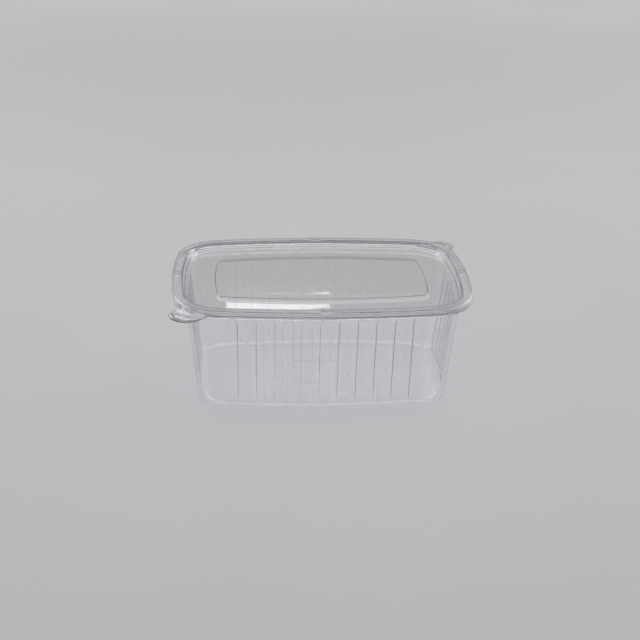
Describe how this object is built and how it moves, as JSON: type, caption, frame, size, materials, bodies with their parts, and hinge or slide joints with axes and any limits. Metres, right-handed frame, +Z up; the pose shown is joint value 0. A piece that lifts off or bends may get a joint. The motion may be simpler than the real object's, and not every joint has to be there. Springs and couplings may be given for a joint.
{
  "type": "food tray",
  "caption": "Clear plastic rectangular food tray with bowed, fluted walls, a rolled rim and a separate lift-off lid with corner tabs.",
  "frame": {"origin": "middle of the footprint, on the surface that the tray stands on", "axes": "+X along the length, +Y to the back, +Z up; the tabs are at the front left and back right corners"},
  "size_m": [0.19, 0.138, 0.072],
  "materials": {
    "clear_tray": "clear gloss",
    "clear_lid": "clear gloss"
  },
  "bodies": {
    "tray": {"tray": "clear_tray"},
    "lid": {"lid": "clear_lid"}
  },
  "joints": [
    {"name": "lid_lift", "type": "slide", "parent": "tray", "child": "lid", "axis": [0, 0, 1], "range_m": [0, 0.09]}
  ]
}
